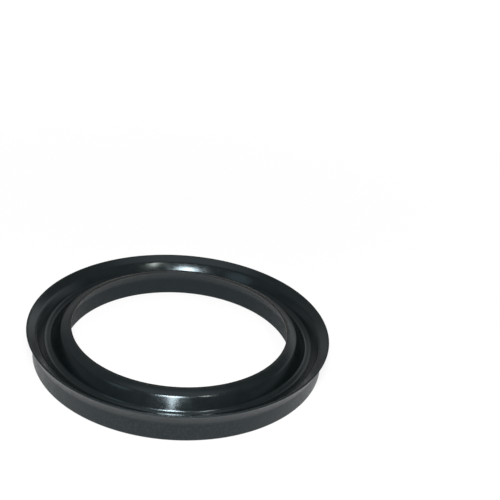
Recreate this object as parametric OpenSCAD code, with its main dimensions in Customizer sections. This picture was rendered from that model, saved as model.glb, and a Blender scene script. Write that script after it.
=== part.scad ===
// Pipe seal for a concrete delivery line: one moulded rubber ring of U section.
// The flat heel rests at z = 0, the two flared lips and the groove between them point up,
// and the ring's axis is Z. All sizes are in millimetres.

/* [Heel] */
// Diameter of the bore through the heel
heel_bore = 135; // [100:0.5:240]
// Radial width of the heel, from its bore to its outer wall
heel_w = 18.3; // [15:0.1:24]
// Height at which the upright heel walls end and the lips begin to flare
heel_h = 11; // [7:0.1:12]
// Rounding of the two edges of the heel's flat face
heel_edge_r = 1.5; // [0.4:0.1:3]

/* [Lips] */
// Height of the ring, from the heel's flat face to the tips of the lips
ring_h = 18.4; // [16.5:0.1:26]
// How far the outer lip stands out beyond the heel's outer wall
outer_flare = 3.2; // [1.5:0.1:4.4]
// How far the inner lip stands in beyond the heel's bore
inner_flare = 3.8; // [1.5:0.1:6]
// Radius of the hollow between an upright wall and its flared lip
waist_r = 3; // [1:0.1:5]
// Rounding of the sealing edge at the tip of each lip
lip_edge_r = 0.5; // [0.2:0.1:1]
// Width of the sloping land on top of the outer lip
outer_land_w = 4.6; // [3.5:0.1:5]
// Width of the sloping land on top of the inner lip
inner_land_w = 5; // [3.5:0.1:6.5]
// How far the groove side of the outer land lies below the tip
outer_land_drop = 2.2; // [0.5:0.1:3]
// How far the groove side of the inner land lies below the tip
inner_land_drop = 1; // [0.5:0.1:2]
// Rounding between each land and the wall of the groove
shoulder_r = 1.6; // [0.5:0.1:2]

/* [Groove] */
// Thickness of solid rubber under the groove
floor_t = 9.2; // [5:0.1:10.5]
// Radius of the groove's round bottom
groove_r = 3.7; // [2:0.1:4.5]

/* [Hidden] */
$fn = 180;

heel_inner = heel_bore / 2;
heel_outer = heel_inner + heel_w;
lip_inner = heel_inner - inner_flare;
lip_outer = heel_outer + outer_flare;
outer_shoulder = lip_outer - outer_land_w;
inner_shoulder = lip_inner + inner_land_w;
groove_mid = (heel_inner + heel_outer) / 2;
lip_edge_z = ring_h - lip_edge_r;
outer_shoulder_z = ring_h - outer_land_drop - shoulder_r;
inner_shoulder_z = ring_h - inner_land_drop - shoulder_r;
// Overlap of the straight sides and the arcs of the section
join = 0.0002;

// The section as arcs [[radius from the axis, height], arc radius], counter-clockwise.
// Rounded edges have a positive arc radius, hollows a negative one.
arcs = [
    [[heel_inner + heel_edge_r, heel_edge_r], heel_edge_r],
    [[heel_outer - heel_edge_r, heel_edge_r], heel_edge_r],
    [[heel_outer + waist_r, heel_h], -waist_r],
    [[lip_outer - lip_edge_r, lip_edge_z], lip_edge_r],
    [[outer_shoulder, outer_shoulder_z], shoulder_r],
    [[groove_mid, floor_t + groove_r], -groove_r],
    [[inner_shoulder, inner_shoulder_z], shoulder_r],
    [[lip_inner + lip_edge_r, lip_edge_z], lip_edge_r],
    [[heel_inner - waist_r, heel_h], -waist_r],
];

// Direction of the straight side that runs from arc a to arc b and is tangent to both
function heading(a, b) =
    let (run = b[0] - a[0])
    atan2(run.y, run.x) + asin((a[1] - b[1]) / norm(run));

// Point where a side of the given direction meets arc a, just inside the arc so that the two join
function touch(a, direction) =
    let (r = a[1] - join * sign(a[1]))
    a[0] + r * [sin(direction), -cos(direction)];

// Ends of the straight sides, which leave each arc cut off at its chord
function side_ends() = [
    for (i = [0 : len(arcs) - 1])
        let (next = arcs[(i + 1) % len(arcs)], direction = heading(arcs[i], next))
        each [touch(arcs[i], direction), touch(next, direction)]
];

// Full discs of all arcs of one kind, 1 for the rounded edges and -1 for the hollows
module arc_discs(kind) {
    for (arc = arcs)
        if (sign(arc[1]) == kind)
            translate(arc[0]) circle(r = abs(arc[1]));
}

module section() {
    difference() {
        union() {
            polygon(side_ends());
            arc_discs(1);
        }
        arc_discs(-1);
    }
}

module seal_ring() {
    color([0.055, 0.06, 0.065])
        rotate_extrude() section();
}

seal_ring();
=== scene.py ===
import math

import bmesh
import bpy
from mathutils import Matrix, Vector


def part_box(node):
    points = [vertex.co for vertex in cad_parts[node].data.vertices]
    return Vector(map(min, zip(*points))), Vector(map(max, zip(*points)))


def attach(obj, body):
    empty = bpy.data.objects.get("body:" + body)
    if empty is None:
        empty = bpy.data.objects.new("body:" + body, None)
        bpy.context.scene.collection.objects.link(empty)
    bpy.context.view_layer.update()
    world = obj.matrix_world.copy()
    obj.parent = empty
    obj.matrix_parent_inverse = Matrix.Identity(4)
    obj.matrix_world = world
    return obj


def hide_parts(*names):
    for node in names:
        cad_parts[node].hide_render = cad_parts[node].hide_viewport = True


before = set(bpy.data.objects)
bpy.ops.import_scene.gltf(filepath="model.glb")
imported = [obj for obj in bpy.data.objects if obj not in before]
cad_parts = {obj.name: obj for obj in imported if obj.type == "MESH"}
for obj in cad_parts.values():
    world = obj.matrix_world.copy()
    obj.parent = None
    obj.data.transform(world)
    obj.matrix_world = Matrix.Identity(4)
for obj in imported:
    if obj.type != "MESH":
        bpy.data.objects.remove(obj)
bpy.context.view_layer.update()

scene = bpy.context.scene
scene.view_settings.view_transform = "Standard"


# Seal ring: one ring of black rubber with a U section, pressed and cured in a turned steel mould.
# The groove and the lands come out of polished faces of the mould and shine, the walls and the heel
# come out of finely blasted faces and stay satin, and the flares of the lips lie in between.
MM = 0.001
ring_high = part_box("seal_ring")[1]

# Sizes of the section in millimetres. A radius carries the name of its round, and a tilt is the angle
# of a face's normal above level.
ring_height = ring_high.z / MM
outer_lip = ring_high.x / MM
inner_lip = 63.7
heel_inner = 67.5
heel_outer = 85.8
heel_height = 10.2
heel_edge = 1.5
waist = 6.0
lip_edge = 0.5
groove_middle = 76.9
groove_floor = 9.3
groove_round = 3.6
inner_wall_tilt = math.radians(33.5)
inner_swell = 80.0
inner_swell_tilt = math.radians(37.5)
inner_bow = 10.0
inner_bow_tilt = math.radians(45.0)
inner_shoulder = 2.2
inner_shoulder_tilt = math.radians(66.0)
inner_land = 18.0
outer_wall_tilt = math.radians(33.0)
outer_swell = 45.0
outer_swell_tilt = math.radians(39.2)
outer_shoulder = 6.0


def leaning(tilt):
    return Vector((math.cos(tilt), math.sin(tilt)))


# Both groove walls leave the round bottom at their tilt and swell slightly. The inner one bows over
# into a tight shoulder and a slightly crowned land, the outer one into a softer shoulder.
groove_centre = Vector((groove_middle, groove_floor + groove_round))
inner_swell_centre = groove_centre - (inner_swell + groove_round) * leaning(inner_wall_tilt)
inner_bow_centre = inner_swell_centre + (inner_swell - inner_bow) * leaning(inner_swell_tilt)
inner_shoulder_centre = inner_bow_centre + (inner_bow - inner_shoulder) * leaning(inner_bow_tilt)
inner_land_centre = (
    inner_shoulder_centre + (inner_shoulder - inner_land) * leaning(inner_shoulder_tilt)
)
outer_swell_centre = (
    groove_centre - (outer_swell + groove_round) * leaning(math.pi - outer_wall_tilt)
)
outer_shoulder_centre = (
    outer_swell_centre + (outer_swell - outer_shoulder) * leaning(math.pi - outer_swell_tilt)
)

# Centre, radius (negative for a hollow) and polish at the start and end of each round of the section,
# counter-clockwise from the inner edge of the heel. Straight faces join the rounds.
SATIN, SHINY = 0.0, 1.0
outer_flare_shine = 0.4
inner_flare_shine = 0.2
tip_height = ring_height - lip_edge
rounds = [
    (Vector((heel_inner + heel_edge, heel_edge)), heel_edge, SATIN, SATIN),
    (Vector((heel_outer - heel_edge, heel_edge)), heel_edge, SATIN, SATIN),
    (Vector((heel_outer + waist, heel_height)), -waist, SATIN, outer_flare_shine),
    (Vector((outer_lip - lip_edge, tip_height)), lip_edge, outer_flare_shine, SHINY),
    (outer_shoulder_centre, outer_shoulder, SHINY, SHINY),
    (outer_swell_centre, outer_swell, SHINY, SHINY),
    (groove_centre, -groove_round, SHINY, SHINY),
    (inner_swell_centre, inner_swell, SHINY, SHINY),
    (inner_bow_centre, inner_bow, SHINY, SHINY),
    (inner_shoulder_centre, inner_shoulder, SHINY, SHINY),
    (inner_land_centre, inner_land, SHINY, SHINY),
    (Vector((inner_lip + lip_edge, tip_height)), lip_edge, SHINY, inner_flare_shine),
    (Vector((heel_inner - waist, heel_height)), -waist, inner_flare_shine, SATIN),
]


# Direction of the straight face between two rounds. Between rounds that touch, its length is nothing
# and its lean is a full 1, which is held against rounding.
def heading(first, second):
    run = second[0] - first[0]
    lean = (first[1] - second[1]) / run.length
    return math.atan2(run.y, run.x) + math.asin(max(-1.0, min(1.0, lean)))


# Each round is one vertex spun about the round's centre. The closed section is then spun about the
# ring's axis.
ARC_STEP = math.radians(3.0)
TURN_STEPS = 256
merge_reach = 0.002 * MM
headings = [heading(rounds[i - 1], rounds[i]) for i in range(len(rounds))]
ring_bm = bmesh.new()
polish = ring_bm.verts.layers.float.new("polish")
starts, ends = [], []
for i, (centre, radius, first_shine, last_shine) in enumerate(rounds):
    arrive, leave = headings[i], headings[(i + 1) % len(rounds)]
    turn = (leave - arrive + math.pi) % (2 * math.pi) - math.pi
    pivot = Vector((centre.x, 0, centre.y)) * MM
    start = pivot + radius * MM * Vector((math.sin(arrive), 0, -math.cos(arrive)))
    vert = bmesh.ops.create_vert(ring_bm, co=start)["vert"][0]
    steps = max(1, math.ceil(abs(turn) / ARC_STEP))
    bmesh.ops.spin(ring_bm, geom=[vert], cent=pivot, axis=(0, -1, 0), angle=turn, steps=steps)
    swept = ring_bm.verts[-steps - 1:]
    for step, swept_vert in enumerate(swept):
        swept_vert[polish] = first_shine + (last_shine - first_shine) * step / steps
    starts.append(swept[0])
    ends.append(swept[-1])
for i, end in enumerate(ends):
    ring_bm.edges.new((end, starts[(i + 1) % len(starts)]))
bmesh.ops.remove_doubles(ring_bm, verts=ring_bm.verts, dist=merge_reach)
bmesh.ops.spin(
    ring_bm, geom=ring_bm.verts[:] + ring_bm.edges[:], cent=(0, 0, 0), axis=(0, 0, 1),
    angle=2 * math.pi, steps=TURN_STEPS, use_merge=True,
)
bmesh.ops.remove_doubles(ring_bm, verts=ring_bm.verts, dist=merge_reach)
bmesh.ops.recalc_face_normals(ring_bm, faces=ring_bm.faces)
for face in ring_bm.faces:
    face.smooth = True
ring_mesh = bpy.data.meshes.new("seal_ring_rubber")
ring_bm.to_mesh(ring_mesh)
ring_bm.free()
seal_ring = bpy.data.objects.new("seal_ring_rubber", ring_mesh)
scene.collection.objects.link(seal_ring)

rubber = bpy.data.materials.new("moulded_black_rubber")
rubber.use_nodes = True
nodes, links = rubber.node_tree.nodes, rubber.node_tree.links
shader = nodes["Principled BSDF"]
shader.inputs["IOR"].default_value = 1.44
shader.inputs["Specular Tint"].default_value = (0.75, 0.92, 1.0, 1)


# These helpers add to the node tree in hand, which nodes and links name.
def add(kind, **settings):
    node = nodes.new(kind)
    for name, value in settings.items():
        setattr(node, name, value)
    return node


def math_node(operation, first, second):
    node = add("ShaderNodeMath", operation=operation)
    for socket, value in zip(node.inputs, (first, second)):
        if isinstance(value, (int, float)):
            socket.default_value = value
        else:
            links.new(value, socket)
    return node.outputs["Value"]


def noise(vector, scale, detail, rough=0.5):
    node = add("ShaderNodeTexNoise")
    links.new(vector, node.inputs["Vector"])
    node.inputs["Scale"].default_value = scale
    node.inputs["Detail"].default_value = detail
    node.inputs["Roughness"].default_value = rough
    return node.outputs["Fac"]


def spread(value, taken, given=(0.0, 1.0)):
    node = add("ShaderNodeMapRange")
    links.new(value, node.inputs["Value"])
    names = ("From Min", "From Max", "To Min", "To Max")
    for name, number in zip(names, (*taken, *given)):
        node.inputs[name].default_value = number
    return node.outputs["Result"]


def blend(factor, first, second):
    node = add("ShaderNodeMix", data_type="RGBA")
    links.new(factor, node.inputs["Factor"])
    first_colour, second_colour, mixed_colour = node.inputs[6], node.inputs[7], node.outputs[2]
    for socket, colour in ((first_colour, first), (second_colour, second)):
        if isinstance(colour, tuple):
            socket.default_value = colour
        else:
            links.new(colour, socket)
    return mixed_colour


place = add("ShaderNodeTexCoord").outputs["Object"]
shine_mask = add("ShaderNodeAttribute", attribute_name="polish").outputs["Fac"]
satin = math_node("SUBTRACT", 1.0, shine_mask)

# The distance from the axis and the height together give rings, as a turned mould leaves them.
split = add("ShaderNodeSeparateXYZ")
links.new(place, split.inputs["Vector"])
above_heel = split.outputs["Z"]
flat = add("ShaderNodeCombineXYZ")
links.new(split.outputs["X"], flat.inputs["X"])
links.new(split.outputs["Y"], flat.inputs["Y"])
axis_gap = add("ShaderNodeVectorMath", operation="LENGTH")
links.new(flat.outputs["Vector"], axis_gap.inputs[0])
from_axis = axis_gap.outputs["Value"]
rings = add("ShaderNodeCombineXYZ")
links.new(from_axis, rings.inputs["X"])
links.new(above_heel, rings.inputs["Z"])
tool_rings = noise(rings.outputs["Vector"], scale=1800, detail=2)
grain = noise(place, scale=1500, detail=4, rough=0.65)
speckle = noise(place, scale=820, detail=3, rough=0.6)
smudge = noise(place, scale=240, detail=4, rough=0.6)
waves = noise(place, scale=130, detail=2)
cloud = noise(place, scale=60, detail=3, rough=0.6)

# The blasted faces are grainy. The polished ones show only faint turning lines and slow waves.
blasted_grain = 0.97
polished_grain = 0.03
line_height = 0.07
wave_height = 0.25
grain_share = math_node("ADD", math_node("MULTIPLY", satin, blasted_grain), polished_grain)
grain_bumps = math_node("MULTIPLY", grain, grain_share)
fine_bumps = math_node("ADD", grain_bumps, math_node("MULTIPLY", tool_rings, line_height))
all_bumps = math_node("ADD", fine_bumps, math_node("MULTIPLY", waves, wave_height))
bump = add("ShaderNodeBump")
bump.inputs["Strength"].default_value = 0.5
bump.inputs["Distance"].default_value = 0.02 * MM
links.new(all_bumps, bump.inputs["Height"])
links.new(bump.outputs["Normal"], shader.inputs["Normal"])

# Roughness: the satin faces are dull in specks, the wall of the bore is blasted coarser, the gloss has
# smudges, and handling rubs the sealing edges dull.
rough_range = (0.3, 0.7)
satin_rough = (0.15, 0.33)
gloss_rough = (0.14, 0.22)
bore_rough = 0.2
rub_rough = 0.6
bore_depth = (68 * MM, 70 * MM)
bore_heights = (10 * MM, 13 * MM)
rub_heights = (17.9 * MM, 18.35 * MM)
fading = (1.0, 0.0)
near_bore = spread(from_axis, bore_depth, fading)
in_bore = math_node("MULTIPLY", near_bore, spread(above_heel, bore_heights, fading))
edge_rub = math_node("MULTIPLY", spread(above_heel, rub_heights), smudge)
speckled = math_node("MULTIPLY", satin, spread(speckle, rough_range, satin_rough))
blasted = math_node("ADD", speckled, math_node("MULTIPLY", in_bore, bore_rough))
smudged = spread(smudge, rough_range, gloss_rough)
rubbed = math_node("ADD", smudged, math_node("MULTIPLY", edge_rub, rub_rough))
links.new(math_node("ADD", blasted, rubbed), shader.inputs["Roughness"])

# Colour: blue-black rubber in faint clouds, a fine pale bloom on the satin faces and a brown cast at
# the inner sealing edge. The bloom thins towards the bore, which is painted shade darkening the bore.
dark_rubber = (0.0022, 0.0038, 0.0042, 1)
light_rubber = (0.0042, 0.0060, 0.0065, 1)
pale_bloom = (0.017, 0.019, 0.021, 1)
brown_cast = (0.020, 0.013, 0.008, 1)
cloud_range = (0.35, 0.65)
bloom_range = (0.47, 0.66)
bore_shade_reach = (68 * MM, 85 * MM)
bore_shade_levels = (0.15, 1.0)
brown_depth = (65.2 * MM, 63.8 * MM)
brown_heights = (17.4 * MM, 18.1 * MM)
clouded = blend(spread(cloud, cloud_range), dark_rubber, light_rubber)
# Painted shade: the bloom falls off from the outer wall towards the bore, so the bore renders darker.
bloom_share_and_bore_shade = math_node("MULTIPLY", satin, spread(from_axis, bore_shade_reach, bore_shade_levels))
bloom_and_bore_shade = math_node("MULTIPLY", bloom_share_and_bore_shade, spread(speckle, bloom_range))
bloomed_and_bore_shaded = blend(bloom_and_bore_shade, clouded, pale_bloom)
near_edge = spread(from_axis, brown_depth)
inner_edge = math_node("MULTIPLY", near_edge, spread(above_heel, brown_heights))
browned = blend(math_node("MULTIPLY", inner_edge, cloud), bloomed_and_bore_shaded, brown_cast)
links.new(browned, shader.inputs["Base Color"])

seal_ring.data.materials.append(rubber)
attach(seal_ring, "root")
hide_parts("seal_ring")


# Floor: a plain painted table top that the ring lies on, a hair below the heel's flat face.
# It shows white to the camera and in reflections, with the ring's own soft shadow left on it.
floor_half = 12
floor_drop = 0.05 * MM
floor_bm = bmesh.new()
bmesh.ops.create_grid(
    floor_bm, x_segments=2, y_segments=2, size=floor_half,
    matrix=Matrix.Translation((0, 0, -floor_drop)),
)
floor_mesh = bpy.data.meshes.new("floor")
floor_bm.to_mesh(floor_mesh)
floor_bm.free()
floor = bpy.data.objects.new("floor", floor_mesh)
scene.collection.objects.link(floor)
white_top = bpy.data.materials.new("white_table_top")
white_top.use_nodes = True
nodes, links = white_top.node_tree.nodes, white_top.node_tree.links
nodes.remove(nodes["Principled BSDF"])
paint = add("ShaderNodeBsdfDiffuse")
paint.inputs["Color"].default_value = (0.17, 0.17, 0.17, 1)

# The glow grows a little with the distance from the ring, as the lamps' own light falls off.
glow_reach = (0.15, 0.9)
glow_levels = (0.84, 0.97)
ring_gap = add("ShaderNodeVectorMath", operation="LENGTH")
links.new(add("ShaderNodeTexCoord").outputs["Object"], ring_gap.inputs[0])
glow = add("ShaderNodeEmission")
links.new(spread(ring_gap.outputs["Value"], glow_reach, glow_levels), glow.inputs["Strength"])
lit = add("ShaderNodeAddShader")
links.new(paint.outputs["BSDF"], lit.inputs[0])
links.new(glow.outputs["Emission"], lit.inputs[1])
seen = add("ShaderNodeLightPath")
clear = math_node("MAXIMUM", seen.outputs["Is Glossy Ray"], seen.outputs["Is Transmission Ray"])
shown = math_node("MAXIMUM", seen.outputs["Is Camera Ray"], clear)
swap = add("ShaderNodeMixShader")
links.new(shown, swap.inputs["Fac"])
links.new(paint.outputs["BSDF"], swap.inputs[1])
links.new(lit.outputs["Shader"], swap.inputs[2])
links.new(swap.outputs["Shader"], nodes["Material Output"].inputs["Surface"])
floor.data.materials.append(white_top)


# Camera: it stands where the photograph was taken, to the front and above, a little to the right of
# the ring, and is tipped slightly to one side.
camera_data = bpy.data.cameras.new("camera")
camera_data.sensor_width = 36
camera_data.lens = 59.91
camera_data.clip_start = 0.01
camera = bpy.data.objects.new("camera", camera_data)
camera.location = (0.03614, -0.42328, 0.28048)
camera.rotation_euler = [math.radians(a) for a in (63.597, -5.774, 2.859)]
scene.collection.objects.link(camera)
scene.camera = camera


# Lights: a soft bar above the camera with a narrow strip below it, a cool window to the left, a small
# warm lamp to the right, a pale wall behind, a dim room all round and a soft glow from the ceiling.
ring_middle = Vector((0, 0, 0.01))
white = (1, 1, 1)
cool = (0.75, 0.92, 1.0)
warm = (1.0, 0.92, 0.79)


def lamp(name, place, width, height, watts, colour):
    data = bpy.data.lights.new(name, "AREA")
    data.shape = "ELLIPSE"
    data.size = width
    data.size_y = height
    data.energy = watts
    data.color = colour
    lamp_object = bpy.data.objects.new(name, data)
    lamp_object.location = place
    aim = ring_middle - place
    lamp_object.rotation_euler = aim.to_track_quat("-Z", "Y").to_euler()
    scene.collection.objects.link(lamp_object)


def by_camera(right, up):
    return camera.location + camera.matrix_world.to_3x3() @ Vector((right, up, 0))


def around(side, height, distance):
    side, height = math.radians(side), math.radians(height)
    flat_way = Vector((math.sin(side), -math.cos(side), 0)) * math.cos(height)
    return (flat_way + Vector((0, 0, math.sin(height)))) * distance


bpy.context.view_layer.update()
bar_place = by_camera(right=-0.01, up=0.13)
strip_place = by_camera(right=-0.01, up=0.06)
window_place = around(side=-50, height=40, distance=1.2)
warm_place = around(side=38, height=53, distance=1.2)
lamp("key_bar", bar_place, width=0.15, height=0.08, watts=1.6, colour=white)
lamp("key_strip", strip_place, width=0.04, height=0.20, watts=0.9, colour=white)
lamp("window", window_place, width=0.40, height=0.35, watts=0.32, colour=cool)
lamp("warm_lamp", warm_place, width=0.09, height=0.30, watts=1.9, colour=warm)

studio = bpy.data.worlds.new("studio")
scene.world = studio
studio.use_nodes = True
nodes, links = studio.node_tree.nodes, studio.node_tree.links
split = add("ShaderNodeSeparateXYZ")
links.new(add("ShaderNodeTexCoord").outputs["Generated"], split.inputs["Vector"])
rightward, backward, upward = (split.outputs[axis] for axis in "XYZ")


# Brightness by the sine of the angle above the horizon.
def level_ramp(levels):
    ramp = add("ShaderNodeValToRGB")
    stops = ramp.color_ramp.elements
    while len(stops) < len(levels):
        stops.new(1.0)
    for stop, (position, level) in zip(stops, levels):
        stop.position = position
        stop.color = (level, level, level, 1)
    links.new(upward, ramp.inputs["Fac"])
    return ramp.outputs["Color"]


back_wall = level_ramp([
    (0.0, 1.0), (0.03, 1.0), (0.07, 0.12), (0.2, 0.22), (0.36, 0.88),
    (0.46, 0.92), (0.54, 0.36), (0.62, 0.2), (0.925, 0.22), (0.98, 1.15),
])
dim_room = level_ramp([
    (0.0, 1.0), (0.03, 1.0), (0.07, 0.18), (0.3, 0.36),
    (0.42, 0.22), (0.6, 0.40), (0.88, 0.36), (0.98, 1.15),
])

# The pale wall stands behind the ring and reaches further to the right than to the left.
wall_turn = 0.9
wall_edges = (0.05, 1.08)
far_edges = (0.1, 0.6)
to_wall = math_node("ADD", backward, math_node("MULTIPLY", rightward, wall_turn))
far_side = spread(backward, far_edges)
wall_share = math_node("MULTIPLY", spread(to_wall, wall_edges), far_side)
links.new(blend(wall_share, dim_room, back_wall), nodes["Background"].inputs["Color"])
